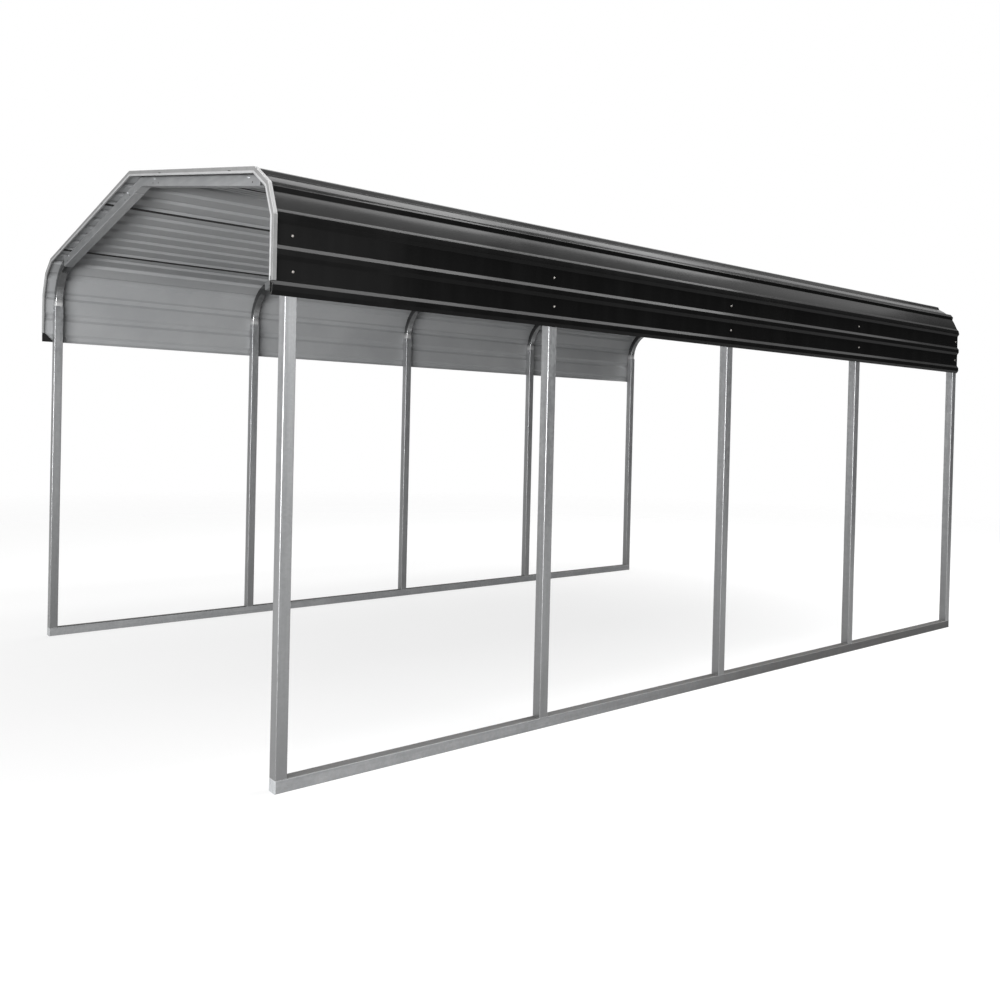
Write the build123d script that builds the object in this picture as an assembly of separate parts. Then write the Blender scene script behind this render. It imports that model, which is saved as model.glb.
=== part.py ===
from build123d import *

import math
import os

# Open carport: five bows of square steel tube stand on two base rails and carry ribbed steel
# sheets that run from front to back and wrap over both eaves.
# Millimetres. The origin is on the ground under the middle of the roof. X runs across, Y from the
# front to the back, Z up.

# Frame
FRAME_WIDTH = 3658.0  # across the outside of the legs
FRAME_LENGTH = 6096.0  # front of the first bow to the back of the last
RIDGE_HEIGHT = 2972.0  # ground to the top of the rafters, produced to the ridge
ROOF_PITCH = 10.2  # degrees
BOW_COUNT = 5

# Tubes
TUBE = 57.15  # legs, rafters and rails, across the flats
TUBE_WALL = 2.77
TUBE_CORNER = 4.0  # outside corner radius
SLIP_GAP = 0.35  # between a tube and what slides into it, on each side
INSERT_WALL = 2.1  # bends, peaks and base pins
INSERT_DEPTH = 150.0  # how far an insert reaches into its tube
BEND_RADIUS = 300.0  # of the eave, at the outer face of leg and rafter
BEND_REVEAL = 15.0  # straight length of a bend that shows beyond its arc, at each end
PEAK_REVEAL = 122.0  # from the ridge to the end of a rafter
RAIL_CAP = 3.0  # plate that closes each end of a rail

# Ribbed sheets
SHEET = 0.8
FRONT_OVERHANG = 70.0  # past the first bow
BACK_OVERHANG = 12.0  # past the last bow
RIB_PITCH = 152.4  # nominal, evened out over each slope
RIB_HEIGHT = 12.7
RIB_CROWN = 24.0  # width of the flat top
RIB_SIDE_ANGLE = 35.0  # degrees
RIBS_PER_SHEET = 6
RIBS_BELOW_EAVE = 2  # on the upright skirt, under the last bend
EAVE_BEND_SHARES = (0.29, 0.42, 0.29)  # of the whole turn, at the three ribs of the eave
LAP_GAP = 0.15  # between two sheets where one lies over the other
LAP_LIP = 8.0  # flat edge of the upper sheet past its lapping rib
UNDERLAP_LEVEL = 4.0  # the lower sheet's edge stops this far above the pan, inside the rib

# Gable trim, on the front edge of the sheets
TRIM = 0.8
TRIM_DROP = 14.0  # the face hangs this far below the pan
TRIM_LEG = 20.0  # on the outside, over the ribs
TRIM_RETURN = 10.0  # folded back on the inside

# Derived: the bows
pitch = math.radians(ROOF_PITCH)
eave_turn = math.radians(90.0 - ROOF_PITCH)
insert = TUBE - 2.0 * (TUBE_WALL + SLIP_GAP)
bow_spacing = (FRAME_LENGTH - TUBE) / (BOW_COUNT - 1)
leg_x = (FRAME_WIDTH - TUBE) / 2.0
centre_radius = BEND_RADIUS - TUBE / 2.0
ridge_centre_z = RIDGE_HEIGHT - TUBE / 2.0 / math.cos(pitch)
corner_centre_z = ridge_centre_z - leg_x * math.tan(pitch)
bend_tangent = centre_radius * math.tan(eave_turn / 2.0)
leg_top_z = corner_centre_z - bend_tangent - BEND_REVEAL
rafter_end = leg_x / math.cos(pitch) - bend_tangent - BEND_REVEAL

# Derived: the line of the sheets, as girth measured from the ridge down the slope
half_width = FRAME_WIDTH / 2.0
bend_angles = [eave_turn * share for share in EAVE_BEND_SHARES]
bend_tangents = [BEND_RADIUS * math.tan(angle / 2.0) for angle in bend_angles]
slope_girth = (
    half_width / math.cos(pitch)
    - BEND_RADIUS * math.tan(eave_turn / 2.0)
    + bend_tangents[0]
)
slope_ribs = round(slope_girth / RIB_PITCH)
rib_step = slope_girth / slope_ribs
rib_run = RIB_HEIGHT / math.tan(math.radians(RIB_SIDE_ANGLE))
rib_crown_half = RIB_CROWN / 2.0
rib_base_half = rib_crown_half + rib_run
rib_side_spread = math.tan(math.radians(RIB_SIDE_ANGLE) / 2.0)

# Derived: places along the length
sheet_length = FRONT_OVERHANG + FRAME_LENGTH + BACK_OVERHANG
sheet_front_y = -sheet_length / 2.0
frame_front_y = sheet_front_y + FRONT_OVERHANG
frame_back_y = frame_front_y + FRAME_LENGTH


def roof_facets():
    """Flat stretches from the ridge to the skirt: start girth, start point, direction and normal."""
    lengths = [slope_girth]
    for upper, lower in zip(bend_tangents, bend_tangents[1:]):
        lengths.append(upper + lower)
    facets = []
    girth = 0.0
    point = (0.0, RIDGE_HEIGHT)
    fall = pitch
    for length, turn in zip(lengths + [0.0], bend_angles + [0.0]):
        along = (math.cos(fall), -math.sin(fall))
        out = (math.sin(fall), math.cos(fall))
        facets.append((girth, point, along, out))
        girth += length
        point = (point[0] + length * along[0], point[1] + length * along[1])
        fall += turn
    return facets


FACETS = roof_facets()


def on_roof(girth, lift):
    """Point at a girth from the ridge, right positive and left negative, lifted off the pan."""
    side = -1.0 if girth < 0 else 1.0
    reach = abs(girth)
    facet = [entry for entry in FACETS if entry[0] <= reach][-1]
    start, point, along, out = facet
    x = point[0] + (reach - start) * along[0] + lift * out[0]
    z = point[1] + (reach - start) * along[1] + lift * out[1]
    return (side * x, z)


def rib_girths():
    """Girth of every rib on the right half, from the one at the ridge to the one at the edge."""
    girths = [rib_step * index for index in range(slope_ribs + 1)]
    for facet in FACETS[2:]:
        girths.append(facet[0])
    for index in range(RIBS_BELOW_EAVE):
        girths.append(FACETS[-1][0] + rib_step * (index + 1))
    return girths


RIBS = rib_girths()
RIDGE_LAP = RIBS_PER_SHEET // 2
SLOPE_LAP = len(RIBS) - 1 - RIBS_PER_SHEET
skirt_edge = RIBS[-1] + rib_base_half


def rib_points(girth, lift):
    """The four folds of one rib, for a face that lies a lift above the underside of the sheet."""
    base = rib_base_half + rib_side_spread * lift
    crown = rib_crown_half + rib_side_spread * lift
    return [
        (girth - base, lift),
        (girth - crown, RIB_HEIGHT + lift),
        (girth + crown, RIB_HEIGHT + lift),
        (girth + base, lift),
    ]


def underlap_points(girth, lift):
    """The first rib of a lower sheet: its upper side stops short, inside the rib that covers it."""
    corners = rib_points(girth, lift)
    crown = girth - corners[1][0]
    climb = corners[1][1] - UNDERLAP_LEVEL
    start = (girth - crown - climb * rib_run / RIB_HEIGHT, UNDERLAP_LEVEL)
    return [start] + corners[1:]


def overlap_points(girth, lift):
    """The last rib of an upper sheet, spread to lie over the rib below it, with a flat lip."""
    rise = SHEET + LAP_GAP
    corners = rib_points(girth, rise + lift)
    foot = (corners[0][0] - rise * rib_run / RIB_HEIGHT, lift)
    lip = (girth + rib_base_half + rib_side_spread * rise + LAP_LIP, rise + lift)
    return [foot] + corners[1:] + [lip]


def mirrored_points(points):
    return [(-girth, lift) for girth, lift in reversed(points)]


def extruded(outline, start_y, length):
    """Solid from a closed outline of X, Z points, drawn from start_y towards the back."""
    corners = [(x, start_y, z) for x, z in outline]
    face = make_face(Polyline(*corners, close=True))
    return extrude(face, amount=length, dir=(0, 1, 0))


def sheet_solid(profile):
    """Sheet from a function that gives the girth and height of its folds at a lift."""
    inner = [on_roof(girth, height) for girth, height in profile(0.0)]
    outer = [on_roof(girth, height) for girth, height in profile(SHEET)]
    return extruded(inner + outer[::-1], sheet_front_y, sheet_length)


def ridge_profile(lift):
    points = rib_points(RIBS[0], lift)[2:]
    for girth in RIBS[1:RIDGE_LAP]:
        points += rib_points(girth, lift)
    points += overlap_points(RIBS[RIDGE_LAP], lift)
    return mirrored_points(points) + points


def slope_profile(lift):
    points = underlap_points(RIBS[RIDGE_LAP], lift)
    for girth in RIBS[RIDGE_LAP + 1:SLOPE_LAP]:
        points += rib_points(girth, lift)
    return points + overlap_points(RIBS[SLOPE_LAP], lift)


def eave_profile(lift):
    points = underlap_points(RIBS[SLOPE_LAP], lift)
    for girth in RIBS[SLOPE_LAP + 1:]:
        points += rib_points(girth, lift)
    return points


def trim_line(lift):
    """Right half of the gable edge at a lift, mitred at each bend, from the ridge to the last rib."""
    line = [(0.0, RIDGE_HEIGHT + lift / math.cos(pitch))]
    for above, below in zip(FACETS, FACETS[1:]):
        corner = below[1]
        share = lift / (1.0 + above[3][0] * below[3][0] + above[3][1] * below[3][1])
        x = corner[0] + share * (above[3][0] + below[3][0])
        z = corner[1] + share * (above[3][1] + below[3][1])
        line.append((x, z))
    line.append(on_roof(RIBS[-1] - rib_base_half, lift))
    return line


def trim_solid():
    """Folded strip: a face across the sheet ends, a leg over the ribs and a short return."""
    seat = RIB_HEIGHT + 2.0 * (SHEET + LAP_GAP)
    front = sheet_front_y - TRIM
    face = trim_line(seat + TRIM) + trim_line(-TRIM_DROP)[::-1]
    leg = trim_line(seat + TRIM) + trim_line(seat)[::-1]
    turn_in = trim_line(TRIM - TRIM_DROP) + trim_line(-TRIM_DROP)[::-1]
    strip = extruded(face, front, TRIM)
    strip += extruded(leg, front, TRIM + TRIM_LEG)
    strip += extruded(turn_in, front, TRIM + TRIM_RETURN)
    return strip


def straight_tube(start, along, across, length):
    """Frame tube from a start point, with two of its faces square to the direction across."""
    plane = Plane(origin=start, x_dir=across, z_dir=along)
    bore = TUBE - 2.0 * TUBE_WALL
    section = RectangleRounded(TUBE, TUBE, TUBE_CORNER) - Rectangle(bore, bore)
    return extrude(plane * section, amount=length, dir=along)


def insert_tube(route):
    """Tube of the inner size along a route of straight runs and tangent arcs in one upright plane."""
    plane = Plane(origin=route @ 0, x_dir=(0, 1, 0), z_dir=route % 0)
    bore = insert - 2.0 * INSERT_WALL
    outer = plane * Rectangle(insert, insert)
    inner = plane * Rectangle(bore, bore)
    return sweep(outer, path=route) - sweep(inner, path=route)


def leg(y):
    return straight_tube((leg_x, y, TUBE), (0, 0, 1), (0, 1, 0), leg_top_z - TUBE)


def rafter(y):
    along = (math.cos(pitch), 0, -math.sin(pitch))
    start_x = PEAK_REVEAL * math.cos(pitch)
    start_z = ridge_centre_z - PEAK_REVEAL * math.sin(pitch)
    return straight_tube((start_x, y, start_z), along, (0, 1, 0), rafter_end - PEAK_REVEAL)


def eave_bend(y):
    foot_z = leg_top_z - INSERT_DEPTH
    head = rafter_end - INSERT_DEPTH
    route = FilletPolyline(
        (leg_x, y, foot_z),
        (leg_x, y, corner_centre_z),
        (head * math.cos(pitch), y, ridge_centre_z - head * math.sin(pitch)),
        radius=centre_radius,
    )
    return insert_tube(route)


def peak(y):
    reach = PEAK_REVEAL + INSERT_DEPTH
    end_x = reach * math.cos(pitch)
    end_z = ridge_centre_z - reach * math.sin(pitch)
    route = FilletPolyline(
        (-end_x, y, end_z),
        (0, y, ridge_centre_z),
        (end_x, y, end_z),
        radius=centre_radius,
    )
    return insert_tube(route)


def base_rail():
    start = (leg_x, frame_front_y + RAIL_CAP, TUBE / 2.0)
    return straight_tube(start, (0, 1, 0), (1, 0, 0), FRAME_LENGTH - 2.0 * RAIL_CAP)


def rail_cap(start_y):
    plane = Plane(origin=(leg_x, start_y, TUBE / 2.0), x_dir=(1, 0, 0), z_dir=(0, 1, 0))
    return extrude(plane * RectangleRounded(TUBE, TUBE, TUBE_CORNER), amount=RAIL_CAP, dir=(0, 1, 0))


def base_pin(y):
    route = Line((leg_x, y, TUBE), (leg_x, y, TUBE + INSERT_DEPTH))
    return insert_tube(route)


def write(name, solids):
    export_step(Compound(children=solids), f"parts/{name}.step")


def write_pair(name, solids):
    """Writes the right-hand solids and their mirror images on the left."""
    write(name.format(side="right"), solids)
    write(name.format(side="left"), [mirror(solid, about=Plane.YZ) for solid in solids])


os.makedirs("parts", exist_ok=True)
bow_places = [frame_front_y + TUBE / 2.0 + bow_spacing * index for index in range(BOW_COUNT)]
for number, place in enumerate(bow_places, start=1):
    write_pair(f"bow_{number}_{{side}}_leg", [leg(place)])
    write_pair(f"bow_{number}_{{side}}_bend", [eave_bend(place)])
    write_pair(f"bow_{number}_{{side}}_rafter", [rafter(place)])
write("ridge_inserts", [peak(place) for place in bow_places])
write_pair("{side}_base_rail", [base_rail()])
cap_places = (frame_front_y, frame_back_y - RAIL_CAP)
write_pair("{side}_rail_caps", [rail_cap(place) for place in cap_places])
write_pair("{side}_base_pins", [base_pin(place) for place in bow_places])
write("ridge_sheet", [sheet_solid(ridge_profile)])
write_pair("{side}_slope_sheet", [sheet_solid(slope_profile)])
write_pair("{side}_eave_sheet", [sheet_solid(eave_profile)])
write_pair("front_{side}_trim", [trim_solid()])
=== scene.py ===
import math
import random
from collections import namedtuple

import bmesh
import bpy
from mathutils import Matrix, Vector


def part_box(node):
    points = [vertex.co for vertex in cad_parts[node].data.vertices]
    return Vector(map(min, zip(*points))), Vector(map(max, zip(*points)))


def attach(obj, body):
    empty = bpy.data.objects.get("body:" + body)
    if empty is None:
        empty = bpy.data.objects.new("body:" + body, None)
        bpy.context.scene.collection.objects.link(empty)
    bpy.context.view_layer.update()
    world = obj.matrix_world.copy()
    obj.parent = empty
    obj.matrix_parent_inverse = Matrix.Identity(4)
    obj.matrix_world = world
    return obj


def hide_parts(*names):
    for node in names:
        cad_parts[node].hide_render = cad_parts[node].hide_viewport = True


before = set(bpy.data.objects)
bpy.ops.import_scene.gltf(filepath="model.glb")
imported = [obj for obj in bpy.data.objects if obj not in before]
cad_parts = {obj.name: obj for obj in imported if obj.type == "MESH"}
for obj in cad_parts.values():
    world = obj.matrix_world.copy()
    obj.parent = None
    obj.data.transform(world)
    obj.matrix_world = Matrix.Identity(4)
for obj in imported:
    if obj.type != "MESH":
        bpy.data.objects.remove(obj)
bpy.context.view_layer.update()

# Open carport: galvanised tube bows under ribbed sheets, black outside and grey inside.
# Metres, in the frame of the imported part: X across, Y from the front to the back, Z up.

SIDES = (("left", -1.0), ("right", 1.0))
FRONT = Vector((0.0, -1.0, 0.0))
BACK = Vector((0.0, 1.0, 0.0))
SEED = 11

# Tubes
BOW_COUNT = 5
TUBE_WALL = 0.00277
SLIP_GAP = 0.00035
INSERT_DEPTH = 0.150
INSERT_CORNER = 0.006
CORNER_STEPS = 4
BEND_RADIUS = 0.300
BEND_REVEAL = 0.015
BEND_STEPS = 20
PEAK_REVEAL = 0.122

# Roof line
RIDGE_HEIGHT = 2.972
ROOF_PITCH = math.radians(10.2)
SHEET = 0.0008
RIB_PITCH = 0.1524
RIB_HEIGHT = 0.0127
RIB_CROWN = 0.024
RIB_SIDE_ANGLE = math.radians(35.0)
RIBS_PER_SHEET = 6
RIBS_BELOW_EAVE = 2
EAVE_BEND_SHARES = (0.29, 0.42, 0.29)
LAP_GAP = 0.00015
LAP_LIP = 0.008
UNDERLAP_LEVEL = 0.004

# Roof sheets as rolled: rounded folds, and pans that stand a little proud between the bows
FOLD_RADIUS = 0.003
FOLD_STEPS = 4
PAN_STEP = 0.022
BAY_STEPS = 8
PAN_SWELL = 0.0014
BOW_STEP = 0.005
PAN_BOW_SHARE = 0.5  # of the eave's own curve, taken up by the pans there
EAVE_FALLS = (0.4, 0.96)  # drop per length between which a pan counts as the eave's
EAVE_FOOT_LIFT = 0.005  # of the upper foot of the eave's lowest rib
BACK_EDGE_SCATTER = 0.005
SMOOTH_ANGLE = math.radians(35.0)

# Gable trim, folded from strip with a hem along its lower edge
TRIM = 0.0008
TRIM_DROP = 0.014
TRIM_LEG = 0.020
TRIM_RETURN = 0.010
TRIM_SET = 0.0025  # from the hem's front back to the face
HEM_HEIGHT = 0.0105
HEM_STEPS = 10
FOLD_ANGLE = math.radians(21.0)

# Screws and holes
WASHER_RADIUS = 0.0054
WASHER_RISE = 0.0022
WASHER_SIDES = 20
HEAD_RADIUS = 0.0040
HEAD_RISE = 0.0064
HEAD_CHAMFER = 0.0010
HEX_SIDES = 6
WASHER_PROFILE = ((WASHER_RADIUS, 0.0), (WASHER_RADIUS, WASHER_RISE / 2.0), (HEAD_RADIUS, WASHER_RISE))
HEAD_PROFILE = (
    (HEAD_RADIUS, WASHER_RISE),
    (HEAD_RADIUS, HEAD_RISE - HEAD_CHAMFER),
    (HEAD_RADIUS - HEAD_CHAMFER, HEAD_RISE),
)
ROOF_SCREW_SCALE = 1.0
FRAME_SCREW_SCALE = 0.95
SCREW_SCATTER = 0.006
HOLE_RADIUS = 0.0042
HOLE_RISE = 0.0003

# Places of the screws and holes, from the ends and tops of the rafters and from the ends of the legs
RAFTER_SCREW_DROP = 0.019
HOLE_DROP = 0.041
PEAK_SCREW = 0.105
PEAK_HOLES = (0.075, 0.160)
EAVE_SCREW = 0.124
EAVE_HOLE = 0.080
LEG_TOP_SCREW = 0.032
LEG_FOOT_SCREW = 0.040

# Guards inside the corners of the skirts, and black strips along the laps
GUARD_SIDE = 0.078
GUARD_WALL = 0.0015
LAP_STRIP_WIDTH = 0.026
LAP_STRIP_RISE = 0.003

# Surfaces. A Pattern is noise, with a scale for each axis, a size in cells per metre and a number of
# octaves. A Sweep turns a span of values into a reach of others. A Layer is a tone laid over another
# where a value crosses a span, by the share named most at its end. A bare pair is the level and warmth
# of the tone beneath. Levels are shares of the material's own, where it has one. A Relief is a bump.
Pattern = namedtuple("Pattern", "scale size detail")
Sweep = namedtuple("Sweep", "span reach")
Layer = namedtuple("Layer", "span most level warmth")
Relief = namedtuple("Relief", "strength depth")

UNIFORM = (1.0, 1.0, 1.0)
NOISE_ROUGHNESS = 0.55

# Painted highlights along the corners of pieces
EDGE_RADIUS = 0.004
EDGE_SAMPLES = 4
EDGE_TURN = Sweep(span=(0.86, 0.985), reach=(1.0, 0.0))

# Zinc of the legs, rafters and rails
UPRIGHT_RUN = Pattern(scale=(55.0, 55.0, 1.6), size=1.0, detail=3.0)
LONG_RUN = Pattern(scale=(55.0, 1.6, 55.0), size=1.0, detail=3.0)
CROSS_RUN = Pattern(scale=(1.6, 55.0, 55.0), size=1.0, detail=3.0)
ZINC_CLOUDS = Pattern(UNIFORM, size=6.0, detail=4.0)
ZINC_FLECKS = Pattern(UNIFORM, size=160.0, detail=2.0)
SPANGLE_SIZE = 75.0
SPANGLE_TINT = Sweep(span=(0.0, 1.0), reach=(0.93, 1.05))
ZINC_DEEP = (0.82, -0.02)
ZINC_PALE = Layer(span=(0.35, 0.68), most=1.0, level=1.0, warmth=-0.015)
ZINC_STREAK = Layer(span=(0.42, 0.70), most=0.6, level=0.68, warmth=-0.025)
ZINC_FLECK = Layer(span=(0.66, 0.74), most=0.35, level=0.5, warmth=0.0)
# Darker towards the ground: part dirt, part painted shade
GROUND_WAVER = Sweep(span=(0.3, 0.7), reach=(0.2, -0.2))
GROUND_DIRT_AND_SHADE = Layer(span=(2.0, 0.0), most=1.0, level=0.3, warmth=0.0)
# Painted shade that darkens a rail towards the back
FAR_SHADE_WAVER = Sweep(span=(0.3, 0.7), reach=(-0.4, 0.4))
FAR_RAIL_SHADE = Layer(span=(-1.4, 0.6), most=1.0, level=0.25, warmth=0.03)
UPPER_GRIME = Layer(span=(0.5, 0.9), most=0.75, level=0.25, warmth=0.03)
ZINC_EDGE = Layer(span=(0.0, 1.0), most=0.6, level=1.7, warmth=-0.01)
ZINC_ROUGH = Sweep(span=(0.4, 1.5), reach=(0.28, 0.42))
ZINC_RELIEF = Relief(strength=0.06, depth=0.0006)

# Drawn steel of the bends; the painted shade above and the painted glint at the foot are measured up from
# the foot of the curve
BEND_CLOUDS = Pattern(UNIFORM, size=11.0, detail=4.0)
BEND_RUBS = Pattern(scale=(60.0, 6.0, 60.0), size=1.0, detail=5.0)
BEND_DEEP = (0.13, -0.02)
BEND_PALE = Layer(span=(0.35, 0.70), most=1.0, level=0.25, warmth=-0.01)
BEND_RUB = Layer(span=(0.55, 0.75), most=0.6, level=0.42, warmth=0.0)
BEND_UPPER_SHADE = Layer(span=(0.045, 0.130), most=0.7, level=0.05, warmth=-0.01)
FOOT_GLINT_SWEEP = Sweep(span=(0.0, 0.045), reach=(1.0, 0.0))
BEND_FOOT_GLINT = Layer(span=(0.0, 1.0), most=1.0, level=0.5, warmth=0.0)
BEND_ROUGH = Sweep(span=(0.3, 0.7), reach=(0.26, 0.16))
FOOT_GLINT_ROUGH = 0.2
BEND_METALLIC = Sweep(span=(0.0, 1.0), reach=(0.9, 0.3))
BEND_RELIEF = Relief(strength=0.08, depth=0.0008)

# Black paint of the roof's outside
PAINT_CLOUDS = Pattern(UNIFORM, size=3.0, detail=4.0)
PAINT_GRAIN = Pattern(UNIFORM, size=420.0, detail=2.0)
PAINT_RUNS = Pattern(scale=(9.0, 9.0, 1.1), size=1.0, detail=4.0)
PAINT_DEEP = (0.0045, 0.0)
PAINT_PALE = Layer(span=(0.42, 0.72), most=1.0, level=0.0065, warmth=0.0)
DUST_AND_SHEEN_FALL = Sweep(span=(0.25, 0.95), reach=(0.0, 0.05))
DUST_AND_SHEEN = (0.3, 0.02)
PAINT_ROUGH = Sweep(span=(0.7, 1.3), reach=(0.13, 0.19))
PAINT_SPECULAR = 0.05
PAINT_GRAIN_SHARE = 0.03
PAINT_RELIEF = Relief(strength=0.06, depth=0.004)

# Grey primer of the roof's inside
PRIMER_CLOUDS = Pattern(UNIFORM, size=2.4, detail=4.0)
PRIMER_GRAIN = Pattern(UNIFORM, size=300.0, detail=2.0)
PRIMER_DEEP = (0.30, -0.02)
PRIMER_PALE = Layer(span=(0.35, 0.70), most=1.0, level=0.345, warmth=-0.015)
PRIMER_SPECK = Layer(span=(0.50, 0.75), most=0.2, level=0.22, warmth=-0.02)
PRIMER_ROUGH = Sweep(span=(0.3, 0.7), reach=(0.42, 0.54))
PRIMER_SPECULAR = 0.45
PRIMER_GRAIN_SHARE = 0.04
PRIMER_RELIEF = Relief(strength=0.1, depth=0.004)

# Bright steel of the trim, caps, screws and cut edges
STEEL_CLOUDS = Pattern(UNIFORM, size=14.0, detail=4.0)
STEEL_SCUFFS = Pattern(scale=(40.0, 40.0, 6.0), size=2.0, detail=5.0)
STEEL_DEEP = 0.86
STEEL_PALE = Layer(span=(0.35, 0.70), most=1.0, level=1.0, warmth=0.0)
STEEL_SCUFF = Layer(span=(0.58, 0.74), most=0.4, level=0.6, warmth=0.0)
STEEL_EDGE = Layer(span=(0.0, 1.0), most=0.6, level=1.7, warmth=0.0)
STEEL_ROUGH_SPAN = (0.3, 0.7)
STEEL_RELIEF = Relief(strength=0.06, depth=0.0008)

# Painted shade of the open holes, and rubber
MATT_GRIME = Pattern(UNIFORM, size=220.0, detail=4.0)
MATT_DEEP = 0.5
MATT_PALE = Layer(span=(0.0, 1.0), most=1.0, level=1.5, warmth=0.05)
MATT_ROUGH = 0.75
MATT_SPECULAR = 0.25

# Studio: a floor, a white wall ahead of the camera and a grey room around, darkest to its right
FLOOR_HALF = 30.0
FLOOR_SEEN = 0.9
FLOOR_BOUNCE = 0.04
FLOOR_GLOW = 0.72
FLOOR_ROUGH = 0.9
FLOOR_FADE = Sweep(span=(6.0, 15.0), reach=(0.0, 1.0))
WHITE = 1.0
WALL_SIDES = Sweep(span=(0.78, 0.86), reach=(0.0, 1.0))
WALL_TOP = Sweep(span=(0.56, 0.74), reach=(1.0, 0.0))
ROOM = Sweep(span=(0.0, 0.9), reach=(0.5, 0.7))
HORIZONTAL = (1.0, 1.0, 0.0)
SHADED_SIDE = 0.06
SHADED_HEADING = (0.55, 0.835, 0.0)
SHADE_SIDES = Sweep(span=(0.3, 0.85), reach=(0.0, 1.0))
SHADE_TOP = Sweep(span=(0.2, 0.6), reach=(1.0, 0.0))

# Lamps: strips overhead, given by the X and Y that they span, and two boxes at the front and side
Strip = namedtuple("Strip", "name across along radiance")
Box = namedtuple("Box", "name place target size power")
STRIP_HEIGHT = 8.0
STRIPS = (
    Strip("slope_strip_near", across=(-4.2, -0.5), along=(-1.5, 3.2), radiance=2.1),
    Strip("slope_strip_far", across=(-4.2, -0.5), along=(3.2, 7.5), radiance=1.1),
    Strip("rib_strip_near", across=(-0.5, 0.75), along=(-1.5, 2.5), radiance=8.0),
    Strip("rib_strip_far", across=(-0.5, 0.75), along=(2.5, 7.5), radiance=4.0),
    Strip("eave_strip_near", across=(2.0, 3.6), along=(-1.5, 2.5), radiance=16.0),
    Strip("eave_strip_far", across=(2.0, 3.6), along=(2.5, 7.5), radiance=8.8),
    Strip("eave_strip_end", across=(2.0, 3.6), along=(7.5, 13.0), radiance=1.4),
    Strip("side_strip_near", across=(3.6, 6.8), along=(-1.0, 3.0), radiance=5.6),
    Strip("side_strip_far", across=(3.6, 6.8), along=(3.0, 7.5), radiance=2.4),
    Strip("side_strip_end", across=(3.6, 7.5), along=(7.5, 13.0), radiance=1.8),
)
BOXES = (
    Box("front_box", place=(5.2, -9.0, 1.55), target=(-0.5, -1.0, 2.6), size=(7.0, 0.7), power=1080.0),
    Box("skirt_card", place=(7.5, 0.0, 2.7), target=(1.84, -2.75, 2.0), size=(1.8, 3.8), power=40.0),
)

# Camera, fitted to the photograph's perspective: angles in radians, lens in millimetres
CAMERA_PLACE = (5.5036, -4.8486, 1.5948)
CAMERA_YAW = 0.88228
CAMERA_PITCH = -0.01128
CAMERA_ROLL = 0.02375
CAMERA_LENS = 34.0
CAMERA_SHIFT_Y = -0.0639

# Sockets of a mix node that mixes colours
MIX_INPUTS = (0, 6, 7)
MIX_OUTPUT = 2

draw = random.Random(SEED)

leg_low, leg_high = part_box("bow_1_right_leg")
sheet_low, sheet_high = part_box("ridge_sheet")
tube = leg_high.y - leg_low.y
half_width = leg_high.x
leg_x = (leg_low.x + leg_high.x) / 2.0
leg_top_z = leg_high.z


def middle_y(name):
    low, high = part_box(name)
    return (low.y + high.y) / 2.0


bow_places = [middle_y(f"bow_{number}_right_leg") for number in range(1, BOW_COUNT + 1)]

# Derived: bows
insert = tube - 2.0 * (TUBE_WALL + SLIP_GAP)
eave_turn = math.pi / 2.0 - ROOF_PITCH
centre_radius = BEND_RADIUS - tube / 2.0
ridge_centre_z = RIDGE_HEIGHT - tube / 2.0 / math.cos(ROOF_PITCH)
corner_centre_z = ridge_centre_z - leg_x * math.tan(ROOF_PITCH)
bend_tangent = centre_radius * math.tan(eave_turn / 2.0)
rafter_end = leg_x / math.cos(ROOF_PITCH) - bend_tangent - BEND_REVEAL

# Derived: roof line, as girth from the ridge down the slope
bend_angles = [eave_turn * share for share in EAVE_BEND_SHARES]
bend_tangents = [BEND_RADIUS * math.tan(angle / 2.0) for angle in bend_angles]
slope_girth = (
    half_width / math.cos(ROOF_PITCH)
    - BEND_RADIUS * math.tan(eave_turn / 2.0)
    + bend_tangents[0]
)
slope_ribs = round(slope_girth / RIB_PITCH)
rib_step = slope_girth / slope_ribs
rib_run = RIB_HEIGHT / math.tan(RIB_SIDE_ANGLE)
rib_crown_half = RIB_CROWN / 2.0
rib_base_half = rib_crown_half + rib_run
rib_side_spread = math.tan(RIB_SIDE_ANGLE / 2.0)


# Node helpers


def plug(tree, target, value):
    """Gives an input socket a value or the socket that feeds it."""
    if isinstance(value, bpy.types.NodeSocket):
        tree.links.new(value, target)
    else:
        target.default_value = value


def node(tree, kind, inputs=None, **settings):
    """New node with its settings and inputs."""
    made = tree.nodes.new(kind)
    for key, value in settings.items():
        setattr(made, key, value)
    for key, value in (inputs or {}).items():
        plug(tree, made.inputs[key], value)
    return made


def mixed(tree, factor, first, second, blend="MIX"):
    """Colour socket of two colours or sockets mixed by a factor."""
    inputs = dict(zip(MIX_INPUTS, (factor, first, second)))
    return node(tree, "ShaderNodeMix", inputs, data_type="RGBA", blend_type=blend).outputs[MIX_OUTPUT]


def swept(tree, value, sweep, easing="LINEAR"):
    """Socket of a value taken from a sweep's span to its reach, clamped."""
    low, high = sweep.span
    to_low, to_high = sweep.reach
    inputs = {"Value": value, "From Min": low, "From Max": high, "To Min": to_low, "To Max": to_high}
    return node(tree, "ShaderNodeMapRange", inputs, interpolation_type=easing).outputs[0]


def eased(tree, value, sweep):
    return swept(tree, value, sweep, "SMOOTHSTEP")


def math_node(tree, operation, first, second):
    return node(tree, "ShaderNodeMath", {0: first, 1: second}, operation=operation).outputs[0]


def vector_node(tree, operation, *vectors):
    return node(tree, "ShaderNodeVectorMath", dict(enumerate(vectors)), operation=operation).outputs


def blended(tree, factor, first, second):
    """Shader socket of two shaders mixed by a factor."""
    return node(tree, "ShaderNodeMixShader", {0: factor, 1: first, 2: second}).outputs[0]


def axes(tree, vector):
    """X, Y and Z sockets of a vector."""
    return node(tree, "ShaderNodeSeparateXYZ", {"Vector": vector}).outputs


def object_place(tree):
    return node(tree, "ShaderNodeTexCoord").outputs["Object"]


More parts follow.
